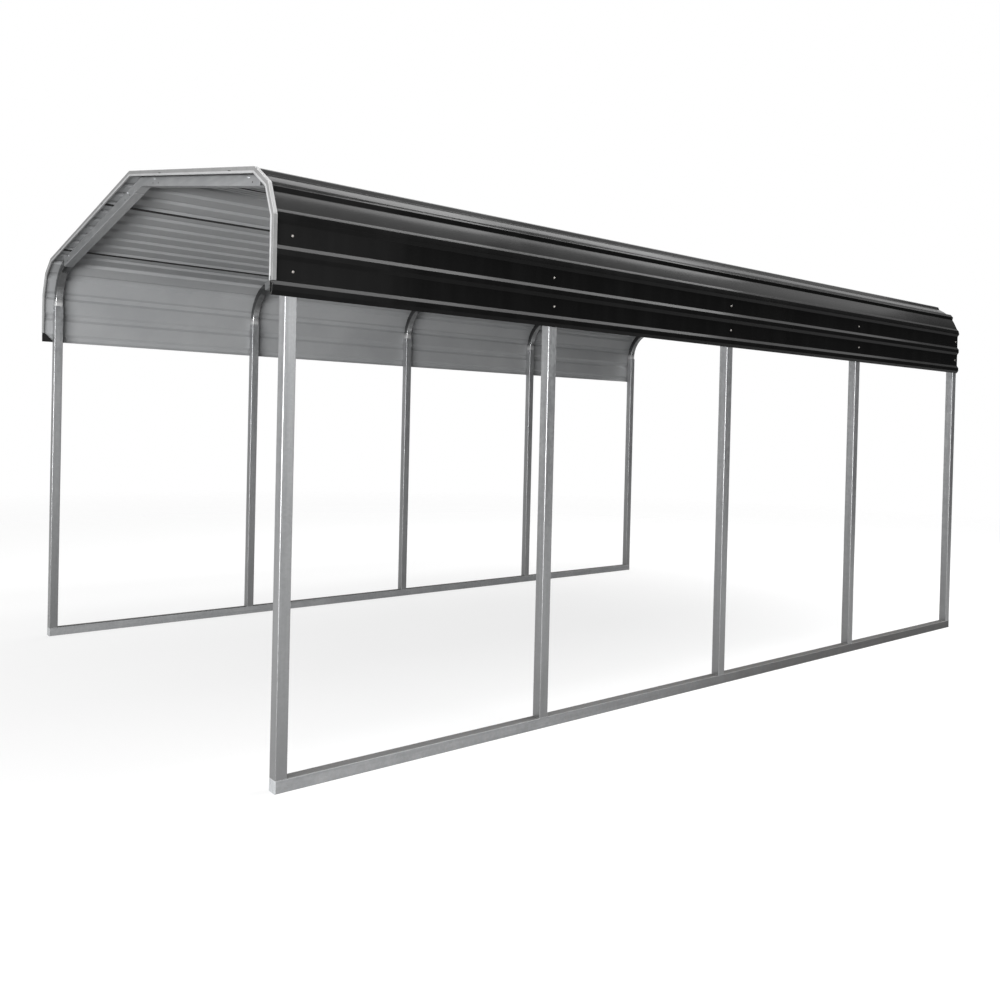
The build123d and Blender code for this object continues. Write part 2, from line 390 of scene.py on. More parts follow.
def facing_up(tree):
    """Upward part of the surface's direction."""
    return axes(tree, node(tree, "ShaderNodeNewGeometry").outputs["Normal"])["Z"]


def noise(tree, pattern):
    place = node(tree, "ShaderNodeMapping", {"Vector": object_place(tree), "Scale": pattern.scale})
    inputs = {
        "Vector": place.outputs[0],
        "Scale": pattern.size,
        "Detail": pattern.detail,
        "Roughness": NOISE_ROUGHNESS,
    }
    return node(tree, "ShaderNodeTexNoise", inputs).outputs[0]


def grey(level, warmth=0.0):
    """Colour of a grey level, warmer or cooler."""
    return (level * (1.0 + warmth), level, level * (1.0 - warmth), 1.0)


def layered(tree, tone, value, layer, level=1.0, warmth=0.0):
    """Tone with a layer over it where a value crosses the layer's span."""
    share = swept(tree, value, Sweep(layer.span, (0.0, layer.most)))
    return mixed(tree, share, tone, grey(level * layer.level, warmth + layer.warmth))


def new_shader(name):
    material = bpy.data.materials.new(name)
    material.use_nodes = True
    tree = material.node_tree
    return material, tree, tree.nodes["Principled BSDF"]


def feed(tree, shader, **sockets):
    """Links or sets the main shader's inputs, named with underscores for spaces."""
    for key, value in sockets.items():
        plug(tree, shader.inputs[key.replace("_", " ")], value)


def bumped(tree, height, relief):
    inputs = {"Height": height, "Strength": relief.strength, "Distance": relief.depth}
    return node(tree, "ShaderNodeBump", inputs).outputs[0]


def edge_highlights(tree):
    """1 along the corners of a piece, where a highlight is painted."""
    rounded = node(tree, "ShaderNodeBevel", {"Radius": EDGE_RADIUS}, samples=EDGE_SAMPLES).outputs[0]
    flat = node(tree, "ShaderNodeNewGeometry").outputs["True Normal"]
    return swept(tree, vector_node(tree, "DOT_PRODUCT", rounded, flat)["Value"], EDGE_TURN)


# Materials


def galvanised(name, run, level, fall, metallic, specular, far_shade=0.0):
    """Zinc-coated tube: spangle, patches and streaks along it, darker towards the ground with dirt and
    painted shade, grimy on top, with painted highlights on the corners, and where asked painted shade
    towards the back.
    """
    material, tree, shader = new_shader(name)
    spangle = node(tree, "ShaderNodeTexVoronoi", {"Vector": object_place(tree), "Scale": SPANGLE_SIZE})
    cell = node(tree, "ShaderNodeSeparateColor", {"Color": spangle.outputs["Color"]}).outputs[0]
    clouds = noise(tree, ZINC_CLOUDS)
    flecks = noise(tree, ZINC_FLECKS)
    place = axes(tree, object_place(tree))
    low_dirt_and_shade = math_node(tree, "ADD", place["Z"], swept(tree, clouds, GROUND_WAVER))
    far_shade_reach = math_node(tree, "ADD", place["Y"], swept(tree, clouds, FAR_SHADE_WAVER))
    deep, warmth = ZINC_DEEP
    tone = grey(level * deep, warmth)
    tone = layered(tree, tone, clouds, ZINC_PALE, level)
    tone = layered(tree, tone, noise(tree, run), ZINC_STREAK, level)
    tone = mixed(tree, 1.0, tone, swept(tree, cell, SPANGLE_TINT), "MULTIPLY")
    tone = layered(tree, tone, flecks, ZINC_FLECK, level)
    # Darker towards the ground: part dirt, part painted shade.
    tone = layered(tree, tone, low_dirt_and_shade, GROUND_DIRT_AND_SHADE._replace(most=fall), level)
    # Painted shade towards the back.
    tone = layered(tree, tone, far_shade_reach, FAR_RAIL_SHADE._replace(most=far_shade), level)
    tone = layered(tree, tone, facing_up(tree), UPPER_GRIME, level)
    # Painted highlight along the corners.
    tone = layered(tree, tone, edge_highlights(tree), ZINC_EDGE, level)
    rough = swept(tree, math_node(tree, "ADD", cell, clouds), ZINC_ROUGH)
    feed(tree, shader, Base_Color=tone, Roughness=rough, Metallic=metallic, Specular_IOR_Level=specular)
    feed(tree, shader, Normal=bumped(tree, math_node(tree, "ADD", cell, flecks), ZINC_RELIEF))
    return material


def drawn_steel():
    """Bend: drawn tube with rub marks along it, with painted shade above and a painted glint at the leg.
    """
    material, tree, shader = new_shader("insert_steel")
    rubs = noise(tree, BEND_RUBS)
    rise = math_node(tree, "SUBTRACT", axes(tree, object_place(tree))["Z"], leg_top_z + BEND_REVEAL)
    # Painted glint at the foot of the bend, and painted shade above it.
    foot_glint = swept(tree, rise, FOOT_GLINT_SWEEP)
    tone = layered(tree, grey(*BEND_DEEP), noise(tree, BEND_CLOUDS), BEND_PALE)
    tone = layered(tree, tone, rubs, BEND_RUB)
    tone = layered(tree, tone, rise, BEND_UPPER_SHADE)
    tone = layered(tree, tone, foot_glint, BEND_FOOT_GLINT)
    added = math_node(tree, "MULTIPLY", foot_glint, FOOT_GLINT_ROUGH)
    rough = math_node(tree, "ADD", swept(tree, rubs, BEND_ROUGH), added)
    feed(tree, shader, Base_Color=tone, Roughness=rough, Metallic=swept(tree, foot_glint, BEND_METALLIC))
    feed(tree, shader, Normal=bumped(tree, rubs, BEND_RELIEF))
    return material


def roof_paint():
    """Black satin coat of the outside, with faint run-off marks, and on what faces up a trace of dust that
    is partly a painted sheen.
    """
    material, tree, shader = new_shader("roof_black")
    clouds = noise(tree, PAINT_CLOUDS)
    runs = noise(tree, PAINT_RUNS)
    # Part dust, part a painted sheen on what faces up.
    dust_and_sheen = math_node(tree, "MULTIPLY", swept(tree, facing_up(tree), DUST_AND_SHEEN_FALL), clouds)
    tone = layered(tree, grey(*PAINT_DEEP), runs, PAINT_PALE)
    tone = mixed(tree, dust_and_sheen, tone, grey(*DUST_AND_SHEEN))
    rough = swept(tree, math_node(tree, "ADD", clouds, runs), PAINT_ROUGH)
    feed(tree, shader, Base_Color=tone, Roughness=rough, Specular_IOR_Level=PAINT_SPECULAR)
    grain = math_node(tree, "MULTIPLY", noise(tree, PAINT_GRAIN), PAINT_GRAIN_SHARE)
    feed(tree, shader, Normal=bumped(tree, math_node(tree, "ADD", clouds, grain), PAINT_RELIEF))
    return material


def roof_primer():
    """Grey back coat of the inside."""
    material, tree, shader = new_shader("roof_grey")
    clouds = noise(tree, PRIMER_CLOUDS)
    specks = noise(tree, PRIMER_GRAIN)
    tone = layered(tree, grey(*PRIMER_DEEP), clouds, PRIMER_PALE)
    tone = layered(tree, tone, specks, PRIMER_SPECK)
    rough = swept(tree, clouds, PRIMER_ROUGH)
    feed(tree, shader, Base_Color=tone, Roughness=rough, Specular_IOR_Level=PRIMER_SPECULAR)
    grain = math_node(tree, "MULTIPLY", specks, PRIMER_GRAIN_SHARE)
    feed(tree, shader, Normal=bumped(tree, math_node(tree, "ADD", clouds, grain), PRIMER_RELIEF))
    return material


def bright_steel(name, level, rough, metallic, warmth=0.0):
    """Bright zinc or trim steel with soft patches and fine scuffs."""
    material, tree, shader = new_shader(name)
    scuffs = noise(tree, STEEL_SCUFFS)
    tone = grey(level * STEEL_DEEP, warmth)
    tone = layered(tree, tone, noise(tree, STEEL_CLOUDS), STEEL_PALE, level, warmth)
    tone = layered(tree, tone, scuffs, STEEL_SCUFF, level, warmth)
    # Painted highlight along the corners.
    tone = layered(tree, tone, edge_highlights(tree), STEEL_EDGE, level, warmth)
    roughness = swept(tree, scuffs, Sweep(STEEL_ROUGH_SPAN, rough))
    feed(tree, shader, Base_Color=tone, Roughness=roughness, Metallic=metallic)
    feed(tree, shader, Normal=bumped(tree, scuffs, STEEL_RELIEF))
    return material


def dark_matt(name, level):
    material, tree, shader = new_shader(name)
    tone = layered(tree, grey(level * MATT_DEEP), noise(tree, MATT_GRIME), MATT_PALE, level)
    feed(tree, shader, Base_Color=tone, Roughness=MATT_ROUGH, Specular_IOR_Level=MATT_SPECULAR)
    return material


leg_zinc = galvanised("galvanised_leg", UPRIGHT_RUN, level=0.42, fall=0.8, metallic=0.7, specular=0.5)
rafter_zinc = galvanised("galvanised_rafter", CROSS_RUN, level=0.25, fall=0.0, metallic=0.15, specular=0.4)
# The rails are copies of one zinc: the left one lighter, the right one darker and shaded towards the back,
# as painted light and shade.
left_rail_zinc = galvanised(
    "galvanised_left_rail", LONG_RUN, level=0.42, fall=0.3, metallic=0.0, specular=0.0
)
right_rail_zinc = galvanised(
    "galvanised_right_rail", LONG_RUN, level=0.36, fall=0.3, metallic=0.0, specular=0.0, far_shade=0.7
)
insert_steel = drawn_steel()
black_paint = roof_paint()
grey_primer = roof_primer()
# The trim's face and hem are copies of one steel: the hem's copy is lighter, a painted highlight on its
# rounded lower edge.
trim_steel = bright_steel("trim_steel", level=0.21, rough=(0.4, 0.52), metallic=0.15)
lit_hem_steel = bright_steel("lit_hem_steel", level=0.37, rough=(0.35, 0.5), metallic=0.15, warmth=-0.01)
zinc_bright = bright_steel("zinc_bright", level=0.46, rough=(0.24, 0.38), metallic=0.5, warmth=-0.03)
screw_zinc = bright_steel("screw_zinc", level=0.25, rough=(0.3, 0.45), metallic=0.4, warmth=0.06)
edge_steel = bright_steel("edge_steel", level=0.4, rough=(0.4, 0.5), metallic=0.3)
# Painted shade for the dark inside of the open holes.
hole_shade = dark_matt("hole_shade", level=0.02)
black_rubber = dark_matt("black_rubber", level=0.005)


def wear(name, material):
    """Gives a node of the frame its finish."""
    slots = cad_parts[name].material_slots
    slots[0].material = material


# Mesh helpers


def add_piece(name, mesh):
    piece = bpy.data.objects.new(name, mesh)
    bpy.context.scene.collection.objects.link(piece)
    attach(piece, "root")
    return piece


def loft_mesh(name, loops):
    """Closed mesh through closed loops of points, joined in order and capped at both ends."""
    count = len(loops[0])
    points = [point for loop in loops for point in loop]
    faces = []
    for row in range(len(loops) - 1):
        for index in range(count):
            after = (index + 1) % count
            low = row * count
            high = low + count
            faces.append((low + index, low + after, high + after, high + index))
    faces.append(tuple(range(count - 1, -1, -1)))
    faces.append(tuple(range(len(points) - count, len(points))))
    mesh = bpy.data.meshes.new(name)
    mesh.from_pydata(points, [], faces)
    return mesh


def turn_outward(mesh):
    rebuilt = bmesh.new()
    rebuilt.from_mesh(mesh)
    bmesh.ops.recalc_face_normals(rebuilt, faces=rebuilt.faces)
    rebuilt.to_mesh(mesh)
    rebuilt.free()


def plain_loft(name, loops, material):
    """Loft of one material, turned outward."""
    mesh = loft_mesh(name, loops)
    turn_outward(mesh)
    mesh.materials.append(material)
    return mesh


def smoothed(mesh, angle=SMOOTH_ANGLE):
    for face in mesh.polygons:
        face.use_smooth = True
    mesh.set_sharp_from_angle(angle=angle)
    mesh.update()


def rounded_line(points, radius, steps):
    """Open line of 2-D points with an arc at each inner corner."""
    line = [points[0]]
    for before, corner, after in zip(points, points[1:], points[2:]):
        back = (before - corner).normalized()
        ahead = (after - corner).normalized()
        half_turn = (math.pi - back.angle(ahead)) / 2.0
        reach = radius / math.cos(half_turn)
        centre = corner + (back + ahead).normalized() * reach
        first = corner + back * radius * math.tan(half_turn) - centre
        last = corner + ahead * radius * math.tan(half_turn) - centre
        for step in range(steps + 1):
            share = step / steps
            spoke = (first * (1.0 - share) + last * share).normalized() * radius
            line.append(centre + spoke)
    line.append(points[-1])
    return line


def line_normals(line):
    """Outward normal at each point of a line that runs from left to right over the roof."""
    normals = []
    for index in range(len(line)):
        before = line[max(index - 1, 0)]
        after = line[min(index + 1, len(line) - 1)]
        along = (after - before).normalized()
        normals.append(Vector((-along.y, along.x)))
    return normals


# Roof line, the same as the part's

Facet = namedtuple("Facet", "girth corner along out")


def roof_facets():
    """Flat stretches from the ridge to the skirt: start girth, start corner, direction and normal."""
    lengths = [slope_girth]
    for upper, lower in zip(bend_tangents, bend_tangents[1:]):
        lengths.append(upper + lower)
    facets = []
    girth = 0.0
    corner = Vector((0.0, RIDGE_HEIGHT))
    fall = ROOF_PITCH
    for length, turn in zip(lengths + [0.0], bend_angles + [0.0]):
        along = Vector((math.cos(fall), -math.sin(fall)))
        out = Vector((math.sin(fall), math.cos(fall)))
        facets.append(Facet(girth, corner, along, out))
        girth += length
        corner = corner + along * length
        fall += turn
    return facets


FACETS = roof_facets()


def facet_at(reach):
    return [facet for facet in FACETS if facet.girth <= reach][-1]


def on_roof(girth, lift):
    """Point at a girth from the ridge, right positive and left negative, lifted off the pan."""
    side = -1.0 if girth < 0 else 1.0
    facet = facet_at(abs(girth))
    place = facet.corner + facet.along * (abs(girth) - facet.girth) + facet.out * lift
    return Vector((side * place.x, place.y))


def roof_normal(girth):
    side = -1.0 if girth < 0 else 1.0
    out = facet_at(abs(girth)).out
    return Vector((side * out.x, 0.0, out.y))


def rib_girths():
    """Girth of each rib: even down the slope, then at the bends of the eave, then even down the skirt."""
    girths = [rib_step * index for index in range(slope_ribs + 1)]
    for facet in FACETS[2:]:
        girths.append(facet.girth)
    for index in range(RIBS_BELOW_EAVE):
        girths.append(FACETS[-1].girth + rib_step * (index + 1))
    return girths


RIBS = rib_girths()
RIDGE_LAP = RIBS_PER_SHEET // 2
SLOPE_LAP = len(RIBS) - 1 - RIBS_PER_SHEET
skirt_edge = RIBS[-1] + rib_base_half


def rib_points(girth, lift):
    """The four folds of one rib, for a face that lies a lift above the underside of the sheet."""
    base = rib_base_half + rib_side_spread * lift
    crown = rib_crown_half + rib_side_spread * lift
    foot_lift = EAVE_FOOT_LIFT if girth == FACETS[-1].girth else 0.0
    return [
        (girth - base, lift + foot_lift),
        (girth - crown, RIB_HEIGHT + lift),
        (girth + crown, RIB_HEIGHT + lift),
        (girth + base, lift),
    ]


def underlap_points(girth, lift):
    """The first rib of a lower sheet: its upper side stops short, inside the rib that covers it."""
    corners = rib_points(girth, lift)
    crown = girth - corners[1][0]
    climb = corners[1][1] - UNDERLAP_LEVEL
    start = (girth - crown - climb * rib_run / RIB_HEIGHT, UNDERLAP_LEVEL)
    return [start] + corners[1:]


def overlap_points(girth, lift):
    """The last rib of an upper sheet, spread to lie over the rib below it, with a flat lip."""
    rise = SHEET + LAP_GAP
    corners = rib_points(girth, rise + lift)
    foot = (corners[0][0] - rise * rib_run / RIB_HEIGHT, lift)
    lip = (girth + rib_base_half + rib_side_spread * rise + LAP_LIP, rise + lift)
    return [foot] + corners[1:] + [lip]


def mirrored_points(points):
    return [(-girth, lift) for girth, lift in reversed(points)]


def ridge_profile(lift):
    points = rib_points(RIBS[0], lift)[2:]
    for girth in RIBS[1:RIDGE_LAP]:
        points += rib_points(girth, lift)
    points += overlap_points(RIBS[RIDGE_LAP], lift)
    return mirrored_points(points) + points


def slope_profile(lift):
    points = underlap_points(RIBS[RIDGE_LAP], lift)
    for girth in RIBS[RIDGE_LAP + 1:SLOPE_LAP]:
        points += rib_points(girth, lift)
    return points + overlap_points(RIBS[SLOPE_LAP], lift)


def eave_profile(lift):
    points = underlap_points(RIBS[SLOPE_LAP], lift)
    for girth in RIBS[SLOPE_LAP + 1:]:
        points += rib_points(girth, lift)
    return points


# Roof sheets


def split_line(line):
    """Line with its long stretches divided, as points with a share across the stretch and its number.

    The long stretches at the eave bow outward. A point at a fold has no share and no number.
    """
    split = []
    for start, end in zip(line, line[1:]):
        split.append((start, None, None))
        along = end - start
        fall = abs(along.y) / along.length
        bowed = along.length > PAN_STEP and EAVE_FALLS[0] < fall < EAVE_FALLS[1]
        parts = int(along.length / (BOW_STEP if bowed else PAN_STEP))
        bow = PAN_BOW_SHARE * along.length ** 2 / (2.0 * BEND_RADIUS) if bowed else 0.0
        out = Vector((-along.y, along.x)).normalized()
        for part in range(1, parts):
            share = part / parts
            lift = out * bow * share * (1.0 - share)
            split.append((start.lerp(end, share) + lift, share, len(split) - part))
    split.append((line[-1], None, None))
    return split


def sheet_stations(back_end):
    """Places along a sheet, each with its bay and share of the bay, or None past the bows."""
    stations = [(sheet_low.y + TRIM_SET, None, 0.0)]
    for bay, (start, end) in enumerate(zip(bow_places, bow_places[1:])):
        for step in range(BAY_STEPS):
            share = step / BAY_STEPS
            stations.append((start + (end - start) * share, bay, share))
    stations.append((bow_places[-1], None, 0.0))
    stations.append((back_end, None, 0.0))
    return stations


def sheet_mesh(name, profile, side):
    """Sheet of real thickness: outside, inside and cut edges are three materials."""
    corners = [on_roof(girth, height) for girth, height in profile(SHEET / 2.0)]
    split = split_line(rounded_line(corners, FOLD_RADIUS, FOLD_STEPS))
    normals = line_normals([entry[0] for entry in split])
    swells = {}
    back_end = sheet_high.y - draw.uniform(0.0, BACK_EDGE_SCATTER)
    loops = []
    for place, bay, bay_share in sheet_stations(back_end):
        outer = []
        inner = []
        for (point, share, pan), normal in zip(split, normals):
            swell = 0.0
            if bay is not None and share is not None:
                if (bay, pan) not in swells:
                    swells[(bay, pan)] = draw.uniform(-PAN_SWELL, PAN_SWELL)
                swell = swells[(bay, pan)] * math.sin(math.pi * share) * math.sin(math.pi * bay_share) ** 2
            top = point + normal * (SHEET / 2.0 + swell)
            under = point + normal * (swell - SHEET / 2.0)
            outer.append((side * top.x, place, top.y))
            inner.append((side * under.x, place, under.y))
        loops.append(outer + inner[::-1])
    mesh = loft_mesh(name, loops)
    materials = (black_paint, grey_primer, edge_steel)
    for material in materials:
        mesh.materials.append(material)
    count = len(loops[0])
    outer_faces = len(split) - 1
    # Round each ring the faces are the outside, a cut edge, the inside and a cut edge; the caps come last
    for index, face in enumerate(mesh.polygons):
        ring = index % count
        if index >= (len(loops) - 1) * count or ring == outer_faces or ring == count - 1:
            face.material_index = materials.index(edge_steel)
        elif ring > outer_faces:
            face.material_index = materials.index(grey_primer)
    turn_outward(mesh)
    smoothed(mesh)
    return mesh


def roof_sheets():
    layout = [("ridge_sheet", ridge_profile, 1.0)]
    for side_name, side in SIDES:
        layout.append((f"{side_name}_slope_sheet", slope_profile, side))
        layout.append((f"{side_name}_eave_sheet", eave_profile, side))
    for node_name, profile, side in layout:
        piece = add_piece(f"{node_name}_rolled", sheet_mesh(node_name, profile, side))
        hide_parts(node_name)


# Gable trim


def trim_line(lift):
    """Right half of the gable edge at a lift, mitred at each bend, from the ridge to the last rib."""
    line = [Vector((0.0, RIDGE_HEIGHT + lift / math.cos(ROOF_PITCH)))]
    for above, below in zip(FACETS, FACETS[1:]):
        both = above.out + below.out
        line.append(below.corner + both * lift / (1.0 + above.out.dot(below.out)))
    line.append(on_roof(RIBS[-1] - rib_base_half, lift))
    return line


def trim_section():
    """Outline of the strip as depth behind the hem's front and lift, and where in it the hem starts."""
    top = RIB_HEIGHT + 2.0 * (SHEET + LAP_GAP) + TRIM
    bottom = -TRIM_DROP
    face = [(TRIM + TRIM_LEG, top), (TRIM_SET, top)]
    hem = []
    for step in range(HEM_STEPS + 1):
        angle = math.pi * step / HEM_STEPS
        depth = TRIM_SET * (1.0 - math.sin(angle))
        hem.append((depth, bottom + HEM_HEIGHT * (1.0 + math.cos(angle)) / 2.0))
    back = [
        (TRIM + TRIM_RETURN, bottom),
        (TRIM + TRIM_RETURN, bottom + TRIM),
        (TRIM_SET + TRIM, bottom + TRIM),
        (TRIM_SET + TRIM, top - TRIM),
        (TRIM + TRIM_LEG, top - TRIM),
    ]
    return face + hem + back, len(face)


def gable_trims():
    section, hem_start = trim_section()
    lines = [trim_line(lift) for depth, lift in section]
    front = sheet_low.y - TRIM
    materials = (trim_steel, lit_hem_steel)
    for side_name, side in SIDES:
        loops = []
        for corner in range(len(lines[0])):
            loop = []
            for (depth, lift), line in zip(section, lines):
                loop.append((side * line[corner].x, front + depth, line[corner].y))
            loops.append(loop)
        mesh = loft_mesh("gable_trim", loops)
        for material in materials:
            mesh.materials.append(material)
        # The hem takes the lighter copy of the steel, a painted highlight.
        for index, face in enumerate(mesh.polygons[:(len(loops) - 1) * len(section)]):
            if 0 <= index % len(section) - hem_start < HEM_STEPS:
                face.material_index = materials.index(lit_hem_steel)
        turn_outward(mesh)
        smoothed(mesh, FOLD_ANGLE)
        piece = add_piece(f"front_{side_name}_trim_folded", mesh)
        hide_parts(f"front_{side_name}_trim")


# Bends, as drawn tube with rounded corners


def square_ring(size, corner, steps):
    """Outline of a square tube with rounded corners, around its centre."""
    flat = size / 2.0 - corner
    ring = []
    for quarter in range(4):
        turn = quarter * math.pi / 2.0
        centre = Vector((flat, flat))
        centre.rotate(Matrix.Rotation(turn, 2))
        for step in range(steps + 1):
            angle = turn + step / steps * math.pi / 2.0
            ring.append(centre + Vector((math.cos(angle), math.sin(angle))) * corner)
    return ring


def swept_insert(name, route, place):
    """Rounded square tube along a 2-D route of X, Z points in the plane of a bow."""
    ring = square_ring(insert, INSERT_CORNER, CORNER_STEPS)
    loops = []
    for point, normal in zip(route, line_normals(route)):
        loop = []
        for offset in ring:
            flat = point + normal * offset.x
            loop.append((flat.x, place + offset.y, flat.y))
        loops.append(loop)
    mesh = plain_loft(name, loops, insert_steel)
    smoothed(mesh)
    return mesh


def eave_route(side):
    head = rafter_end - INSERT_DEPTH
    corners = [
        Vector((side * leg_x, leg_top_z - INSERT_DEPTH)),
        Vector((side * leg_x, corner_centre_z)),
        Vector((side * head * math.cos(ROOF_PITCH), ridge_centre_z - head * math.sin(ROOF_PITCH))),
    ]
    return rounded_line(corners, centre_radius, BEND_STEPS)


def bow_bends():
    for number, place in enumerate(bow_places, start=1):
        for side_name, side in SIDES:
            node_name = f"bow_{number}_{side_name}_bend"
            mesh = swept_insert(node_name, eave_route(side), place)
            piece = add_piece(f"{node_name}_drawn", mesh)
            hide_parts(node_name)


# Screws and holes


def ring_at(bm, place, turn, radius, rise, sides):
    ring = []
    for index in range(sides):
        angle = 2.0 * math.pi * index / sides
        local = Vector((radius * math.cos(angle), radius * math.sin(angle), rise))
        ring.append(bm.verts.new(place + turn @ local))
    return ring


def join_rings(bm, rings):
    for low, high in zip(rings, rings[1:]):
        for index in range(len(low)):
            after = (index + 1) % len(low)
            bm.faces.new((low[index], low[after], high[after], high[index]))
    bm.faces.new(rings[-1])
    bm.faces.new(rings[0][::-1])


def add_screw(bm, place, out, scale):
    """Hex washer head at a place on a surface, turned to a random angle."""
    turn = out.to_track_quat("Z", "Y").to_matrix() @ Matrix.Rotation(draw.uniform(0.0, math.pi), 3, "Z")
    for profile, sides in ((WASHER_PROFILE, WASHER_SIDES), (HEAD_PROFILE, HEX_SIDES)):
        rings = []
        for radius, rise in profile:
            rings.append(ring_at(bm, place, turn, radius * scale, rise * scale, sides))
        join_rings(bm, rings)


def add_hole(bm, place):
    """Disc of painted shade on a front face, where an open hole shows dark inside."""
    turn = FRONT.to_track_quat("Z", "Y").to_matrix()
    rings = []
    for rise in (0.0, HOLE_RISE):
        rings.append(ring_at(bm, place, turn, HOLE_RADIUS, rise, WASHER_SIDES))
    join_rings(bm, rings)


def mesh_of(bm, name, material):
    mesh = bpy.data.meshes.new(name)
    bm.to_mesh(mesh)
    bm.free()
    mesh.materials.append(material)
    return mesh


def pan_girths():
    """Middle of each flat that is screwed to a bow: the slopes and the upright skirt."""
    middles = [(above + below) / 2.0 for above, below in zip(RIBS, RIBS[1:])]
    return middles[:slope_ribs] + middles[-RIBS_BELOW_EAVE:]


def roof_screws():
    for side_name, side in SIDES:
        bm = bmesh.new()
        for place in bow_places:
            for girth in pan_girths():
                scatter = draw.uniform(-SCREW_SCATTER, SCREW_SCATTER)
                spot = on_roof(side * girth, SHEET)
                point = Vector((spot.x, place + scatter, spot.y))
                add_screw(bm, point, roof_normal(side * girth), ROOF_SCREW_SCALE)
        add_piece(f"{side_name}_roof_screws", mesh_of(bm, "roof_screws", screw_zinc))


def on_rafter(side, slope, drop, place):
    """Point on the front face of a rafter, at a slope length from the ridge and a drop below its top."""
    x = slope * math.cos(ROOF_PITCH)
    z = RIDGE_HEIGHT - slope * math.sin(ROOF_PITCH) - drop
    return Vector((side * x, place - tube / 2.0, z))


def frame_fasteners():
    screws = bmesh.new()
    holes = bmesh.new()
    hole_slopes = [PEAK_REVEAL + reach for reach in PEAK_HOLES] + [rafter_end - EAVE_HOLE]
    for place in bow_places:
        front = place - tube / 2.0
        for side_name, side in SIDES:
            for slope in (PEAK_REVEAL + PEAK_SCREW, rafter_end - EAVE_SCREW):
                nudge = draw.uniform(-SCREW_SCATTER, SCREW_SCATTER)
                spot = on_rafter(side, slope + nudge, RAFTER_SCREW_DROP, place)
                add_screw(screws, spot, FRONT, FRAME_SCREW_SCALE)
            for slope in hole_slopes:
                add_hole(holes, on_rafter(side, slope, HOLE_DROP, place))
            head = Vector((side * leg_x, front, leg_top_z - LEG_TOP_SCREW))
            add_screw(screws, head, FRONT, FRAME_SCREW_SCALE)
            foot = Vector((side * leg_x, front + tube, tube + LEG_FOOT_SCREW))
            add_screw(screws, foot, BACK, FRAME_SCREW_SCALE)
    add_piece("frame_screws", mesh_of(screws, "frame_screws", zinc_bright))
    add_piece("frame_holes", mesh_of(holes, "frame_holes", hole_shade))


# Guards and seals


def corner_guards():
    """Three-cornered guards inside the four lower corners of the skirts."""
    ends = (("front", sheet_low.y, 1.0), ("back", sheet_high.y - BACK_EDGE_SCATTER, -1.0))
    corners = [(0.0, 0.0), (GUARD_SIDE, 0.0), (0.0, GUARD_SIDE)]
    for side_name, side in SIDES:
        bottom = on_roof(side * skirt_edge, 0.0)
        for end_name, start, inward in ends:
            loops = []
            for depth in (LAP_GAP, LAP_GAP + GUARD_WALL):
                x = bottom.x - side * depth
                loops.append([(x, start + inward * along, bottom.y + rise) for along, rise in corners])
            mesh = plain_loft("corner_guard", loops, black_rubber)
            add_piece(f"{end_name}_{side_name}_corner_guard", mesh)


def lap_strips():
    """Black strip that shows inside, along the lower foot of each lapped rib."""
    places = (sheet_low.y, sheet_high.y - BACK_EDGE_SCATTER)
    for side_name, side in SIDES:
        for lap_name, lap in (("upper", RIDGE_LAP), ("lower", SLOPE_LAP)):
            near = RIBS[lap] + rib_base_half
            far = near + LAP_STRIP_WIDTH
            section = [(near, 0.0), (far, 0.0), (far, -LAP_STRIP_RISE), (near, -LAP_STRIP_RISE)]
            outline = [on_roof(side * girth, lift - LAP_GAP) for girth, lift in section]
            loops = [[(point.x, place, point.y) for point in outline] for place in places]
            mesh = plain_loft("lap_strip", loops, black_rubber)
            add_piece(f"{side_name}_{lap_name}_lap_strip", mesh)


# Finish of the frame's own nodes


def finish_frame():
    wear("ridge_inserts", rafter_zinc)
    wear("left_base_rail", left_rail_zinc)
    wear("right_base_rail", right_rail_zinc)
    for side_name, side in SIDES:
        wear(f"{side_name}_base_pins", insert_steel)
        wear(f"{side_name}_rail_caps", zinc_bright)
        for number in range(1, BOW_COUNT + 1):
            wear(f"bow_{number}_{side_name}_leg", leg_zinc)
            wear(f"bow_{number}_{side_name}_rafter", rafter_zinc)


# Studio


def seen_directly(tree):
    """1 for rays that show the floor: from the camera, or by way of a reflection or glass."""
    path = node(tree, "ShaderNodeLightPath").outputs
    seen = math_node(tree, "MAXIMUM", path["Is Camera Ray"], path["Is Glossy Ray"])
    return math_node(tree, "MAXIMUM", seen, path["Is Transmission Ray"])


def studio_world():
    """White wall ahead of the camera, and around it a grey room that is darkest to the right."""
    world = bpy.data.worlds.new("studio")
    bpy.context.scene.world = world
    world.use_nodes = True
    tree = world.node_tree
    direction = node(tree, "ShaderNodeTexCoord").outputs["Generated"]
    height = axes(tree, direction)["Z"]
    flattened = vector_node(tree, "MULTIPLY", direction, HORIZONTAL)["Vector"]
    heading = vector_node(tree, "NORMALIZE", flattened)["Vector"]
    ahead = (-math.sin(CAMERA_YAW), math.cos(CAMERA_YAW), 0.0)
    to_wall = vector_node(tree, "DOT_PRODUCT", heading, ahead)["Value"]
    wall = math_node(tree, "MULTIPLY", eased(tree, to_wall, WALL_SIDES), eased(tree, height, WALL_TOP))
    to_shade = vector_node(tree, "DOT_PRODUCT", heading, SHADED_HEADING)["Value"]
    shade = math_node(tree, "MULTIPLY", eased(tree, to_shade, SHADE_SIDES), eased(tree, height, SHADE_TOP))
    tone = mixed(tree, shade, eased(tree, height, ROOM), grey(SHADED_SIDE))
    tone = mixed(tree, wall, tone, grey(WHITE))
    tree.links.new(tone, tree.nodes["Background"].inputs["Color"])


